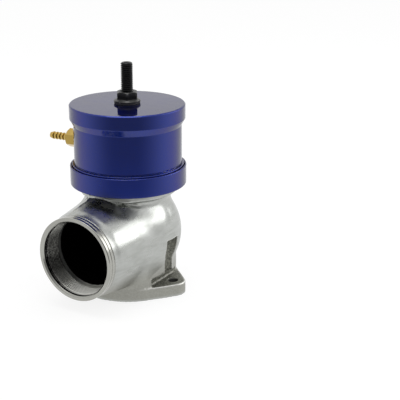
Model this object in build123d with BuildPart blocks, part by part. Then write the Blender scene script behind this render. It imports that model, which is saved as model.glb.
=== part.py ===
from build123d import *
from math import acos, atan2, cos, pi, radians, sin, sqrt, tan
import os

# Blow-off valve, millimetres. Origin at the centre of the inlet flange's bottom face,
# +Z up along the valve stem, outlet along -Y, flange ears along +X and -X.

# General clearances
running_clear = 0.05
part_clear = 0.1

# Inlet flange and its two ears
flange_t = 8.5
flange_room = 4.3
flange_ledge = 0.5
ear_spacing = 69.0
ear_r = 8.5
ear_round = 0.8
bolt_hole_r = 3.3
inlet_len = 5.0

# Bore that the poppet is fitted through, and the seat below it
bore_r = 24.4
inlet_step = 0.4
seat_land = 2.9
seat_z = 10.0
seat_chamfer = 0.3

# Globe-shaped body above the flange, large enough for the outlet's bore
globe_room = 11.7
globe_over = 1.6
wall_step = 3.7
casting_wall = 4.0
chamber_z = 17.0

# Neck and top flange of the casting
neck_wall = 3.6
neck_lead = 3.67
top_flange_t = 3.8

# Front skirt under the outlet
skirt_h = 24.0
skirt_half_angle = 52.0
skirt_back_angle = 10.0

# Tool slot and washer recess above each bolt hole
slot_r = 6.3
slot_under = 0.5
slot_wall = 3.2
recess_back = 7.2
recess_half_w = 18.0
recess_h = 5.0
recess_corner_r = 2.5

# Outlet: tapered pipe, turned collar, counterbore with its ring groove
outlet_lift = 1.7
outlet_reach = 62.2
outlet_bore_r = 23.5
passage_lift = 1.0
collar_wall = 3.1
collar_len = 5.8
collar_step = 0.38
collar_sweep_r = 9.0
collar_edge = 0.4
collar_lines = 2
collar_line_pitch = 2.7
collar_line_depth = 0.35
collar_line_w = 0.6
mouth_step = 1.1
mouth_depth = 16.3
mouth_chamfer = 0.9
ring_groove_depth = 0.7
ring_groove_w = 1.1
ring_groove_inset = 1.6

# Countersunk screws that hold the base on the casting
screw_count = 6
screw_wall = 1.4
screw_land = 2.7
screw_r = 2.0
screw_len = 8.0
screw_head_r = 3.9
screw_cone_angle = 90.0
screw_socket_af = 2.5
screw_socket_depth = 1.6
screw_hole_spare = 0.4

# Actuator base: floor, threaded ring and stem guide boss
gasket_t = 0.7
base_r = 38.65
base_h = 12.8
base_floor_t = 4.0
base_chamfer = 0.4
base_mouth_chamfer = 0.6
thread_wall = 1.45
spigot_len = 2.5
spigot_wall = 3.0
guide_boss_wall = 2.0
guide_boss_len = 8.5
balance_hole_r = 1.5
balance_circle_r = 16.0
balance_holes = 3

# Valve stem, its bush and ring seal
stem_r = 4.0
stem_step = 1.0
stem_chamfer = 0.5
bush_wall = 2.0
bush_len = 9.5
stem_seal_lip = 1.5
stem_seal_h = 2.3

# Poppet, its ring seal and its fastening
head_clear = 0.4
head_edge_t = 2.6
head_hub_r = 8.0
head_hub_h = 5.6
head_edge_slope = 0.1
head_hub_slope = 0.2
head_seal_t = 1.8
pilot_clear = 0.3
pilot_len = 4.6
pilot_wall = 3.0
pilot_dish = 3.8
head_nut_af = 10.0
head_nut_h = 4.0
head_washer_r = 6.0
head_washer_t = 1.0
stem_tail = 0.8

# Diaphragm, its plates and the fastening on the stem
bead_clear = 0.3
bead_w = 2.1
bead_h = 2.0
rubber_t = 1.5
roll_outer_r = 3.9
plate_gap = 0.5
lower_plate_t = 2.2
upper_plate_t = 2.0
plate_edge_r = 0.8
clamp_ring_t = 1.2
spring_lip_w = 1.7
spring_lip_h = 1.8
plate_washer_r = 6.0
plate_washer_t = 1.6
stem_nut_af = 10.0
stem_nut_h = 5.0
stem_spare = 1.0

# Actuator cap
cap_len = 46.3
skirt_step = 1.38
lip_step = 2.38
cap_lip_h = 9.3
cap_taper_h = 4.4
cap_chamfer = 0.7
cap_wall = 4.2
cap_roof_t = 5.0
cap_roof_fillet = 3.0
cap_boss_wall = 4.0
cap_boss_len = 8.0
skirt_over = 1.0
skirt_chamfer = 0.3
skirt_bore_h = 3.9
relief_w = 0.9
relief_depth = 0.5

# Hose barb
barb_rise = 17.8
barb_angle = 185.0
barb_spot_r = 7.0
barb_spot_depth = 0.5
barb_thread_r = 4.9
barb_hex_af = 11.2
barb_hex_len = 10.3
barb_hex_chamfer = 0.5
barb_land_r = 2.2
barb_land_len = 1.6
barb_count = 5
barb_pitch = 2.6
barb_crest_r = 2.65
barb_root_r = 2.0
barb_hole_r = 1.4

# Closing spring and its perch
spring_r = 15.0
spring_wire_r = 1.35
spring_turns = 6
perch_rim_over = 1.5
perch_rim_t = 1.6
perch_gap = 1.0
perch_side_gap = 0.6
perch_wall = 2.2
perch_floor_t = 2.5
perch_boss_gap = 1.5

# Adjuster stud with its bonded washer and lock nut
stud_r = 4.0
stud_over = 18.8
stud_socket_af = 4.0
stud_socket_depth = 4.0
stud_chamfer = 0.6
washer_r = 8.5
washer_t = 1.2
nut_af = 13.0
nut_h = 6.8
nut_flange_over = 2.2
nut_flange_t = 0.9
nut_cone_h = 1.1
nut_corner_angle = -55.5
nut_chamfer_angle = 30.0

# Radii that follow from the sizes above
mouth_r = outlet_bore_r + mouth_step
collar_r = mouth_r + collar_wall
globe_r = outlet_bore_r + globe_room
wall_r = globe_r - wall_step
flange_r = wall_r + flange_room
inlet_r = bore_r - inlet_step
seat_r = bore_r - seat_land
head_r = bore_r - head_clear
pilot_r = seat_r - pilot_clear
neck_r = bore_r + neck_wall
screw_circle_r = bore_r + screw_wall + screw_r
top_flange_r = screw_circle_r + screw_r + screw_land
thread_r = base_r - thread_wall
bead_r = thread_r - bead_clear
leg_out_r = bead_r - bead_w
roll_mid_r = leg_out_r - roll_outer_r
roll_in_r = leg_out_r - 2 * roll_outer_r
plate_r = roll_in_r - 2 * part_clear
cap_skirt_r = thread_r - part_clear
skirt_bore_r = leg_out_r + part_clear
cap_r = cap_skirt_r - skirt_step
cap_lip_r = cap_r + lip_step
cap_bore_r = cap_r - cap_wall
cap_boss_r = stud_r + cap_boss_wall
bush_r = stem_r + bush_wall
stem_seal_r = bush_r + stem_seal_lip
guide_boss_r = stem_seal_r + guide_boss_wall
stem_end_r = stem_r - stem_step

# Heights that follow, from the casting's top face to the stud's end
outlet_z = globe_r + outlet_lift
globe_z = outlet_z + globe_over
slot_top = globe_z - slot_under
neck_z = globe_z + sqrt(globe_r**2 - neck_r**2) + neck_lead
flare_r = top_flange_r - neck_r
casting_h = neck_z + flare_r + top_flange_t
base_z = casting_h + gasket_t
floor_z = base_z + base_floor_t
base_top = base_z + base_h
bush_z = base_z - guide_boss_len
lower_plate_z = floor_z + plate_gap
rubber_z = lower_plate_z + lower_plate_t
upper_plate_z = rubber_z + rubber_t
spring_z = upper_plate_z + upper_plate_t
plate_nut_z = spring_z + plate_washer_t
stem_top = plate_nut_z + stem_nut_h + stem_spare
cap_skirt_z = floor_z + bead_h + clamp_ring_t
cap_h = cap_skirt_z + cap_len
skirt_top = base_top + skirt_over
roof_z = cap_h - cap_roof_t
barb_z = cap_skirt_z + barb_rise
perch_top = roof_z - perch_gap
spring_top = perch_top - perch_rim_t
perch_seat_z = roof_z - cap_boss_len - perch_boss_gap
nut_z = cap_h + washer_t
stud_top = nut_z + nut_h + stud_over

# Heights that follow, of the poppet on its seat
head_z = seat_z + head_seal_t
hub_top = head_z + head_edge_t + head_hub_h
pilot_z = head_z - pilot_len
dish_top = pilot_z + pilot_dish
head_nut_z = dish_top - head_washer_t - head_nut_h

outlet_axis = Axis((0, 0, outlet_z), (0, -1, 0))
ear_x = ear_spacing / 2
recess_x = ear_x - recess_back


def ears():
    """The two places of the flange ears."""
    return Locations((-ear_x, 0), (ear_x, 0))


def hexagon(across_flats, turn=0.0):
    """A hexagon given by its size across flats."""
    return RegularPolygon(across_flats / 2, 6, major_radius=False, rotation=turn)


def band(r_in, r_out, z_low, z_high):
    """A ring's section beside the Z axis, as a rectangle in the XZ plane."""
    with Locations(((r_in + r_out) / 2, (z_low + z_high) / 2)):
        return Rectangle(r_out - r_in, z_high - z_low)


# Casting: the outer form of the globe, neck and top flange
neck_rise = neck_z - globe_z
neck_sweep_r = (neck_r**2 + neck_rise**2 - globe_r**2) / (2 * (globe_r - neck_r))
blend_share = globe_r / (globe_r + neck_sweep_r)
blend_r = (neck_r + neck_sweep_r) * blend_share
blend_z = globe_z + neck_rise * blend_share
globe_low_z = globe_z - sqrt(globe_r**2 - wall_r**2)
diagonal = sqrt(0.5)

with BuildPart() as globe:
    with BuildSketch(Plane.XZ):
        with BuildLine():
            Polyline((0, 0), (wall_r, 0), (wall_r, globe_low_z))
            ThreePointArc((wall_r, globe_low_z), (globe_r, globe_z), (blend_r, blend_z))
            TangentArc((blend_r, blend_z), (neck_r, neck_z), tangent=(-neck_rise, neck_r + neck_sweep_r))
            ThreePointArc(
                (neck_r, neck_z),
                (neck_r + flare_r * (1 - diagonal), neck_z + flare_r * diagonal),
                (top_flange_r, neck_z + flare_r),
            )
            Polyline((top_flange_r, neck_z + flare_r), (top_flange_r, casting_h), (0, casting_h), (0, 0))
        make_face()
    revolve(axis=Axis.Z)

# Casting: the chamber inside the globe, which stands back from the tool slots
chamber_r = globe_r - casting_wall
chamber_wall_r = wall_r - casting_wall
chamber_low_z = globe_z - sqrt(chamber_r**2 - chamber_wall_r**2)
chamber_top_z = globe_z + sqrt(chamber_r**2 - bore_r**2)

with BuildPart() as chamber:
    with BuildSketch(Plane.XZ):
        with BuildLine():
            Polyline((0, chamber_z), (chamber_wall_r, chamber_z), (chamber_wall_r, chamber_low_z))
            ThreePointArc((chamber_wall_r, chamber_low_z), (chamber_r, globe_z), (bore_r, chamber_top_z))
            Polyline((bore_r, chamber_top_z), (0, chamber_top_z), (0, chamber_z))
        make_face()
    revolve(axis=Axis.Z)
    with BuildSketch(Plane.XY.offset(chamber_z)):
        with ears():
            Circle(slot_r + slot_wall)
    extrude(amount=slot_top + slot_wall - chamber_z, mode=Mode.SUBTRACT)

# Casting: the tapered outlet pipe, tangent to the globe, and the sweep from it to the turned collar
collar_y = -(outlet_reach - collar_len)
taper_r = collar_r + collar_step
pipe_start_angle = atan2(taper_r, -collar_y) + acos(globe_r / sqrt(collar_y**2 + taper_r**2))
pipe_start_y = -globe_r * cos(pipe_start_angle)
pipe_start_r = globe_r * sin(pipe_start_angle)
slope = (pipe_start_r - taper_r) / (pipe_start_y - collar_y)
sweep_rise = collar_sweep_r - collar_step
sweep_root = sqrt((1 + slope**2) * collar_sweep_r**2 - sweep_rise**2)
sweep_len = (slope * sweep_rise + sweep_root) / (1 + slope**2)
sweep_end = (collar_y + sweep_len, outlet_z + taper_r + slope * sweep_len)

with BuildPart() as pipe:
    with BuildSketch(Plane.YZ):
        with BuildLine():
            Polyline((pipe_start_y, outlet_z), (pipe_start_y, outlet_z + pipe_start_r), sweep_end)
            TangentArc((collar_y, outlet_z + collar_r), sweep_end, tangent=(1, 0))
            Polyline(
                (collar_y, outlet_z + collar_r),
                (-outlet_reach + collar_edge, outlet_z + collar_r),
                (-outlet_reach, outlet_z + collar_r - collar_edge),
                (-outlet_reach, outlet_z),
                (pipe_start_y, outlet_z),
            )
        make_face()
        for line in range(collar_lines):
            line_y = -outlet_reach + collar_line_pitch * (line + 1)
            with Locations((line_y, outlet_z + collar_r)):
                Rectangle(collar_line_w, 2 * collar_line_depth, mode=Mode.SUBTRACT)
    revolve(axis=outlet_axis)

with BuildPart() as body_casting:
    with BuildSketch():
        with BuildLine():
            CenterArc((0, 0), flange_r, -90 - skirt_half_angle, 2 * skirt_half_angle)
            CenterArc((0, 0), wall_r + flange_ledge, -skirt_back_angle, 180 + 2 * skirt_back_angle)
        with ears():
            Circle(ear_r)
        make_hull()
    extrude(amount=flange_t)
    top_arcs = body_casting.faces().sort_by(Axis.Z)[-1].edges().filter_by(GeomType.CIRCLE).sort_by(Axis.X)
    fillet([top_arcs[0], top_arcs[-1]], ear_round)
    with BuildSketch():
        with BuildLine():
            CenterArc((0, 0), flange_r, -90 - skirt_half_angle, 2 * skirt_half_angle)
            CenterArc((0, 0), wall_r, -skirt_back_angle, 180 + 2 * skirt_back_angle)
        make_hull()
    extrude(amount=skirt_h)
    add(globe.part)
    add(pipe.part)
    # Flow path: chamber, outlet, inlet, seat and the bore for the poppet
    add(chamber.part, mode=Mode.SUBTRACT)
    with BuildSketch(Plane((0, mouth_depth - outlet_reach, outlet_z + passage_lift), z_dir=(0, 1, 0))):
        Circle(outlet_bore_r)
    extrude(amount=outlet_reach - mouth_depth, mode=Mode.SUBTRACT)
    with BuildSketch(Plane.YZ):
        with BuildLine():
            Polyline(
                (-outlet_reach, outlet_z),
                (-outlet_reach, outlet_z + mouth_r + mouth_chamfer),
                (-outlet_reach + mouth_chamfer, outlet_z + mouth_r),
                (-outlet_reach + mouth_depth, outlet_z + mouth_r),
                (-outlet_reach + mouth_depth, outlet_z),
                close=True,
            )
        make_face()
        with Locations((-outlet_reach + ring_groove_inset + ring_groove_w / 2, outlet_z + mouth_r)):
            Rectangle(ring_groove_w, 2 * ring_groove_depth)
    revolve(axis=outlet_axis, mode=Mode.SUBTRACT)
    with BuildSketch(Plane.XZ):
        with BuildLine():
            Polyline(
                (0, 0),
                (inlet_r, 0),
                (inlet_r, inlet_len),
                (seat_r, inlet_len + inlet_r - seat_r),
                (seat_r, seat_z - seat_chamfer),
                (seat_r + seat_chamfer, seat_z),
                (bore_r, seat_z),
                (bore_r, casting_h + globe_r),
                (0, casting_h + globe_r),
                close=True,
            )
        make_face()
    revolve(axis=Axis.Z, mode=Mode.SUBTRACT)
    # Ears: bolt holes, tool slots and the recesses for the washers
    with BuildSketch():
        with ears():
            Circle(bolt_hole_r)
    extrude(amount=flange_t, mode=Mode.SUBTRACT)
    with BuildSketch(Plane.XY.offset(flange_t)):
        with ears():
            Circle(slot_r)
    extrude(amount=slot_top - flange_t, mode=Mode.SUBTRACT)
    for side in (-1, 1):
        with BuildSketch(Plane.XY.offset(flange_t)):
            with Locations((side * (recess_x + flange_r / 2), 0)):
                RectangleRounded(flange_r, 2 * recess_half_w, recess_corner_r)
        extrude(amount=recess_h, mode=Mode.SUBTRACT)
    # Tapped holes for the base's screws
    with BuildSketch(Plane.XY.offset(casting_h)):
        with PolarLocations(screw_circle_r, screw_count):
            Circle(screw_r + running_clear)
    extrude(amount=-(screw_len - base_floor_t - gasket_t + screw_hole_spare), mode=Mode.SUBTRACT)
body_casting.part.label = "body_casting"

with BuildPart() as neck_gasket:
    with BuildSketch(Plane.XY.offset(casting_h)):
        Circle(top_flange_r)
        Circle(bore_r + part_clear, mode=Mode.SUBTRACT)
        with PolarLocations(screw_circle_r, screw_count):
            Circle(screw_r + part_clear, mode=Mode.SUBTRACT)
    extrude(amount=gasket_t)
neck_gasket.part.label = "neck_gasket"

with BuildPart() as actuator_base:
    with BuildSketch(Plane.XZ):
        band(stem_r, base_r, base_z, floor_z)
        band(thread_r, base_r, base_z, base_top)
        band(stem_r, guide_boss_r, base_z - guide_boss_len, floor_z)
        band(bore_r - part_clear - spigot_wall, bore_r - part_clear, base_z - spigot_len, floor_z)
    revolve(axis=Axis.Z)
    rims = actuator_base.edges().filter_by(GeomType.CIRCLE)
    chamfer(rims.filter_by(lambda edge: abs(edge.radius - base_r) < part_clear), base_chamfer)
    top_rims = actuator_base.edges().filter_by(GeomType.CIRCLE).group_by(Axis.Z)[-1]
    chamfer(top_rims.sort_by(SortBy.RADIUS)[0], base_mouth_chamfer)
    with BuildSketch(Plane.XY.offset(floor_z)):
        Circle(bush_r)
    extrude(amount=-(base_floor_t + guide_boss_len), mode=Mode.SUBTRACT)
    with BuildSketch(Plane.XY.offset(floor_z)):
        Circle(stem_seal_r)
    extrude(amount=-stem_seal_h, mode=Mode.SUBTRACT)
    with Locations(Plane.XY.offset(floor_z)):
        with PolarLocations(screw_circle_r, screw_count):
            CounterSinkHole(screw_r + part_clear, screw_head_r + part_clear, base_floor_t, screw_cone_angle)
        with PolarLocations(balance_circle_r, balance_holes):
            Hole(balance_hole_r, base_floor_t)
actuator_base.part.label = "actuator_base"

with BuildPart() as one_screw:
    with BuildSketch(Plane.XZ):
        with BuildLine():
            Polyline(
                (0, floor_z - screw_len),
                (screw_r, floor_z - screw_len),
                (screw_r, floor_z - screw_head_r + screw_r),
                (screw_head_r, floor_z),
                (0, floor_z),
                close=True,
            )
        make_face()
    revolve(axis=Axis.Z)
    with BuildSketch(Plane.XY.offset(floor_z)):
        hexagon(screw_socket_af)
    extrude(amount=-screw_socket_depth, mode=Mode.SUBTRACT)

with BuildPart() as base_screws:
    with PolarLocations(screw_circle_r, screw_count):
        add(one_screw.part)
base_screws.part.label = "base_screws"

with BuildPart() as guide_bushing:
    with BuildSketch(Plane.XY.offset(bush_z)):
        Circle(bush_r)
        Circle(stem_r + running_clear, mode=Mode.SUBTRACT)
    extrude(amount=bush_len)
guide_bushing.part.label = "guide_bushing"

with BuildPart() as stem_seal:
    with BuildSketch(Plane.XY.offset(floor_z - stem_seal_h)):
        Circle(stem_seal_r)
        Circle(stem_r + running_clear, mode=Mode.SUBTRACT)
    extrude(amount=stem_seal_h)
stem_seal.part.label = "stem_seal"

with BuildPart() as valve_head:
    with BuildSketch(Plane.XZ):
        with BuildLine():
            Polyline(
                (stem_end_r + part_clear, dish_top),
                (pilot_r - pilot_wall, dish_top),
                (pilot_r - pilot_wall, pilot_z),
                (pilot_r, pilot_z),
                (pilot_r, head_z),
                (head_r, head_z),
                (head_r, head_z + head_edge_t),
            )
            Spline(
                (head_r, head_z + head_edge_t),
                (head_hub_r, hub_top),
                tangents=((-1, head_edge_slope), (-head_hub_slope, 1)),
            )
            Polyline((head_hub_r, hub_top), (stem_end_r + part_clear, hub_top), (stem_end_r + part_clear, dish_top))
        make_face()
    revolve(axis=Axis.Z)
valve_head.part.label = "valve_head"

seal_wire_r = head_seal_t / 2
with BuildPart() as valve_seal:
    with BuildSketch(Plane.XZ):
        with Locations((pilot_r + seal_wire_r + running_clear, seat_z + seal_wire_r)):
            Circle(seal_wire_r - running_clear / 2)
    revolve(axis=Axis.Z)
valve_seal.part.label = "valve_seal"

with BuildPart() as valve_stem:
    with BuildSketch(Plane.XZ):
        band(0, stem_end_r, head_nut_z - stem_tail, stem_top)
        band(0, stem_r, hub_top, lower_plate_z)
    revolve(axis=Axis.Z)
    ends = valve_stem.edges().filter_by(GeomType.CIRCLE).group_by(Axis.Z)
    chamfer(ends[0] + ends[-1], stem_chamfer)
valve_stem.part.label = "valve_stem"


def flat_ring(r_in, r_out, z_low, height):
    """A flat ring lying on the height z_low."""
    with BuildPart() as piece:
        with BuildSketch(Plane.XY.offset(z_low)):
            Circle(r_out)
            Circle(r_in, mode=Mode.SUBTRACT)
        extrude(amount=height)
    return piece


def hex_nut(across_flats, hole_r, z_low, height, turn=0.0):
    """A plain hexagon nut lying on the height z_low, its top corners turned off."""
    corner_r = across_flats / 2 / cos(pi / 6)
    drop = (corner_r - across_flats / 2) * tan(radians(nut_chamfer_angle))
    with BuildPart() as piece:
        with BuildSketch(Plane.XY.offset(z_low)):
            hexagon(across_flats, turn)
            Circle(hole_r, mode=Mode.SUBTRACT)
        extrude(amount=height)
        with BuildSketch(Plane.XZ):
            with BuildLine():
                Polyline(
                    (across_flats / 2, z_low + height),
                    (corner_r + part_clear, z_low + height),
                    (corner_r + part_clear, z_low + height - drop),
                    close=True,
                )
            make_face()
        revolve(axis=Axis.Z, mode=Mode.SUBTRACT)
    return piece


head_washer = flat_ring(
    stem_end_r + part_clear, head_washer_r, head_nut_z + head_nut_h, head_washer_t
)
head_washer.part.label = "head_washer"

head_nut = hex_nut(head_nut_af, stem_end_r + running_clear, head_nut_z, head_nut_h)
head_nut.part.label = "head_nut"

with BuildPart() as lower_plate:
    with BuildSketch(Plane.XY.offset(lower_plate_z)):
        Circle(plate_r)
        Circle(stem_end_r + part_clear, mode=Mode.SUBTRACT)
    extrude(amount=lower_plate_t)
    fillet(lower_plate.edges().filter_by(GeomType.CIRCLE).group_by(SortBy.RADIUS)[-1], plate_edge_r)
lower_plate.part.label = "lower_plate"

spring_lip_r = spring_r + 2 * part_clear
with BuildPart() as upper_plate:
    with BuildSketch(Plane.XY.offset(upper_plate_z)):
        Circle(plate_r)
        Circle(stem_end_r + part_clear, mode=Mode.SUBTRACT)
    extrude(amount=upper_plate_t)
    fillet(upper_plate.edges().filter_by(GeomType.CIRCLE).group_by(SortBy.RADIUS)[-1], plate_edge_r)
    with BuildSketch(Plane.XY.offset(spring_z)):
        Circle(spring_lip_r + spring_lip_w)
        Circle(spring_lip_r, mode=Mode.SUBTRACT)
    extrude(amount=spring_lip_h)
upper_plate.part.label = "upper_plate"

plate_washer = flat_ring(stem_end_r + part_clear, plate_washer_r, spring_z, plate_washer_t)
plate_washer.part.label = "plate_washer"

stem_nut = hex_nut(stem_nut_af, stem_end_r + running_clear, plate_nut_z, stem_nut_h)
stem_nut.part.label = "stem_nut"

# Diaphragm: flat centre, one rolled convolution and a bead clamped at the rim
with BuildPart() as diaphragm:
    with BuildSketch(Plane.XZ):
        with Locations((roll_mid_r, rubber_z)):
            Circle(roll_outer_r)
            Circle(roll_outer_r - rubber_t, mode=Mode.SUBTRACT)
            Rectangle(2 * roll_outer_r, roll_outer_r, align=(Align.CENTER, Align.MAX), mode=Mode.SUBTRACT)
        band(stem_end_r + part_clear, roll_in_r + rubber_t, rubber_z, upper_plate_z)
        band(leg_out_r - rubber_t, leg_out_r, floor_z, rubber_z)
        band(leg_out_r - rubber_t, bead_r, floor_z, floor_z + bead_h)
    revolve(axis=Axis.Z)
diaphragm.part.label = "diaphragm"

clamp_ring = flat_ring(skirt_bore_r, bead_r, floor_z + bead_h, clamp_ring_t)
clamp_ring.part.label = "clamp_ring"

# Actuator cap: turned outside, spring chamber inside, tapped boss for the stud
lip_z = cap_h - cap_lip_h
taper_z = lip_z - cap_taper_h
bore_cone_z = cap_skirt_z + skirt_bore_h
barb_dir = Vector(cos(radians(barb_angle)), sin(radians(barb_angle)), 0)
barb_face_r = cap_r - barb_spot_depth
barb_plane = Plane(barb_dir * barb_face_r + Vector(0, 0, barb_z), x_dir=(0, 0, 1), z_dir=barb_dir)

with BuildPart() as actuator_cap:
    with BuildSketch(Plane.XZ):
        with BuildLine():
            Polyline(
                (stud_r + running_clear, cap_h),
                (cap_lip_r - cap_chamfer, cap_h),
                (cap_lip_r, cap_h - cap_chamfer),
                (cap_lip_r, lip_z),
                (cap_r, taper_z),
                (cap_r, skirt_top + relief_w),
                (cap_r - relief_depth, skirt_top + relief_w),
                (cap_r - relief_depth, skirt_top),
                (cap_skirt_r - skirt_chamfer, skirt_top),
                (cap_skirt_r, skirt_top - skirt_chamfer),
                (cap_skirt_r, cap_skirt_z),
                (skirt_bore_r, cap_skirt_z),
                (skirt_bore_r, bore_cone_z),
                (cap_bore_r, bore_cone_z + skirt_bore_r - cap_bore_r),
                (cap_bore_r, roof_z),
                (cap_boss_r, roof_z),
                (cap_boss_r, roof_z - cap_boss_len),
                (stud_r + running_clear, roof_z - cap_boss_len),
                close=True,
            )
        corner = make_face()
        fillet(corner.vertices().sort_by_distance((cap_bore_r, roof_z))[0], cap_roof_fillet)
    revolve(axis=Axis.Z)
    with BuildSketch(barb_plane):
        Circle(barb_spot_r)
    extrude(amount=2 * barb_spot_depth, mode=Mode.SUBTRACT)
    with BuildSketch(barb_plane):
        Circle(barb_thread_r + running_clear)
    extrude(amount=-(cap_r - cap_bore_r + barb_thread_r), mode=Mode.SUBTRACT)
actuator_cap.part.label = "actuator_cap"

# Hose barb: threaded root, hexagon, land and the row of barbs, along its own axis
barb_root_len = barb_face_r - cap_bore_r - part_clear
barb_start = barb_hex_len + barb_land_len
barb_end = barb_start + barb_count * barb_pitch
barb_axis = Axis(barb_plane.origin, barb_dir)

with BuildPart() as hose_barb:
    with BuildSketch(barb_plane):
        hexagon(barb_hex_af)
    extrude(amount=barb_hex_len)
    hex_edges = hose_barb.faces().sort_by(barb_axis)[-1].edges()
    chamfer(hex_edges, barb_hex_chamfer)
    with BuildSketch(barb_plane):
        Circle(barb_thread_r)
    extrude(amount=-barb_root_len)
    side_plane = Plane(barb_plane.origin, x_dir=barb_dir, z_dir=(-barb_dir.Y, barb_dir.X, 0))
    with BuildSketch(side_plane):
        with BuildLine():
            outline = [(barb_hex_len, 0), (barb_hex_len, barb_land_r), (barb_start, barb_land_r)]
            for barb in range(barb_count):
                foot = barb_start + barb * barb_pitch
                outline += [(foot, barb_crest_r), (foot + barb_pitch, barb_root_r)]
            outline += [(barb_end, 0)]
            Polyline(outline, close=True)
        make_face()
    revolve(axis=barb_axis)
    with BuildSketch(barb_plane.offset(barb_end)):
        Circle(barb_hole_r)
    extrude(amount=-(barb_end + barb_root_len), mode=Mode.SUBTRACT)
hose_barb.part.label = "hose_barb"

# Closing spring with both ends ground flat
spring_mid_r = spring_r - spring_wire_r
spring_len = spring_top - spring_z
spring_pitch = spring_len / spring_turns
with BuildPart() as main_spring:
    with BuildLine():
        coil = Helix(spring_pitch, spring_len, spring_mid_r, center=(0, 0, spring_z))
    with BuildSketch(Plane(coil @ 0, z_dir=coil % 0)):
        Circle(spring_wire_r)
    sweep(is_frenet=True)
    with Locations((0, 0, spring_z)):
        Cylinder(
            spring_r + spring_wire_r,
            spring_len,
            align=(Align.CENTER, Align.CENTER, Align.MIN),
            mode=Mode.INTERSECT,
        )
main_spring.part.label = "main_spring"

perch_out_r = spring_r - 2 * spring_wire_r - perch_side_gap
perch_rim_r = spring_r + perch_rim_over
with BuildPart() as spring_seat:
    with BuildSketch(Plane.XZ):
        band(perch_out_r - perch_wall, perch_rim_r, spring_top, perch_top)
        band(perch_out_r - perch_wall, perch_out_r, perch_seat_z - perch_floor_t, perch_top)
        band(0, perch_out_r, perch_seat_z - perch_floor_t, perch_seat_z)
    revolve(axis=Axis.Z)
spring_seat.part.label = "spring_seat"

with BuildPart() as adjuster_stud:
    with BuildSketch(Plane.XY.offset(perch_seat_z)):
        Circle(stud_r)
    extrude(amount=stud_top - perch_seat_z)
    chamfer(adjuster_stud.edges().filter_by(GeomType.CIRCLE), stud_chamfer)
    with BuildSketch(Plane.XY.offset(stud_top)):
        hexagon(stud_socket_af)
    extrude(amount=-stud_socket_depth, mode=Mode.SUBTRACT)
adjuster_stud.part.label = "adjuster_stud"

seal_washer = flat_ring(stud_r + part_clear, washer_r, cap_h, washer_t)
seal_washer.part.label = "seal_washer"

nut_blank = hex_nut(nut_af, stud_r + running_clear, nut_z, nut_h, nut_corner_angle)
with BuildPart() as lock_nut:
    add(nut_blank.part)
    with BuildSketch(Plane.XZ):
        with BuildLine():
            Polyline(
                (stud_r + running_clear, nut_z),
                (nut_af / 2 + nut_flange_over, nut_z),
                (nut_af / 2 + nut_flange_over, nut_z + nut_flange_t),
                (nut_af / 2, nut_z + nut_flange_t + nut_cone_h),
                (stud_r + running_clear, nut_z + nut_flange_t + nut_cone_h),
                close=True,
            )
        make_face()
    revolve(axis=Axis.Z)
lock_nut.part.label = "lock_nut"

# Each piece is written to its own file
os.makedirs("parts", exist_ok=True)
pieces = [
    body_casting,
    neck_gasket,
    actuator_base,
    base_screws,
    guide_bushing,
    stem_seal,
    valve_head,
    valve_seal,
    valve_stem,
    head_washer,
    head_nut,
    lower_plate,
    upper_plate,
    plate_washer,
    stem_nut,
    diaphragm,
    clamp_ring,
    actuator_cap,
    hose_barb,
    main_spring,
    spring_seat,
    adjuster_stud,
    seal_washer,
    lock_nut,
]
for piece in pieces:
    export_step(piece.part, f"parts/{piece.part.label}.step")
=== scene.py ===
from math import cos, pi, radians, sin, tan

import bmesh
import bpy
import numpy as np
from mathutils import Matrix, Vector


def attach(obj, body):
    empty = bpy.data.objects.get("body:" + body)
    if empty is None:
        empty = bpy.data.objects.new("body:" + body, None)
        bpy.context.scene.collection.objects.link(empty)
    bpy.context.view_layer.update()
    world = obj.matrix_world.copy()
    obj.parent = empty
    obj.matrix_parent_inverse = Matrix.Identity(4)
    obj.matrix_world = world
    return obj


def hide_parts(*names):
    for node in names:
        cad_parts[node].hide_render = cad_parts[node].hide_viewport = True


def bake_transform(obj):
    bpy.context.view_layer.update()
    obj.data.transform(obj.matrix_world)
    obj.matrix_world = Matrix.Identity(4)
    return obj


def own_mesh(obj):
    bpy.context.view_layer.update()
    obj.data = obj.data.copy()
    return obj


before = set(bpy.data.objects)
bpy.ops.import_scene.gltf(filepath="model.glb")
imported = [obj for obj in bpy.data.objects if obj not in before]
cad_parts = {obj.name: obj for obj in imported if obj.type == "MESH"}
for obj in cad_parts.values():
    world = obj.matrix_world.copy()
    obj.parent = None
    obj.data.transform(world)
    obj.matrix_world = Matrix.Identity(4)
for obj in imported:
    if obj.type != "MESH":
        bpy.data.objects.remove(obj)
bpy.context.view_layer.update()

bl_info = {
    "name": "Blow-off valve",
    "version": (1, 0, 0),
    "blender": (4, 5, 0),
    "location": "3D View > Sidebar > Valve",
    "description": "Dresses a flange-mounted blow-off valve in its cast, turned and threaded surfaces",
    "category": "Object",
}

MM = 0.001

# Sizes and places repeated from the model, in millimetres: the casting, from its foot upwards
FLANGE_TOP = 8.5
EAR_X = 34.5
EAR_R = 8.5
BOLT_R = 3.3
SLOT_R = 6.3
SLOT_TOP = 38.0
SLOT_WALL = 3.2
RECESS_X = 27.3
RECESS_Y = 18.0
RECESS_TOP = 13.5
RECESS_CORNER = 2.5
WALL_R = 31.5
FRONT_R = 35.8
FRONT_TOP = 24.0
GLOBE_R = 35.2
GLOBE_Z = 38.5
NECK_R = 28.0
TOP_FLANGE_R = 32.5
TOP_FLANGE_LOW = 68.0
CASTING_TOP = 71.8
SCREW_CIRCLE_R = 27.8
SCREW_HOLE_R = 2.05
SCREW_HOLE_DEPTH = 3.7

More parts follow.
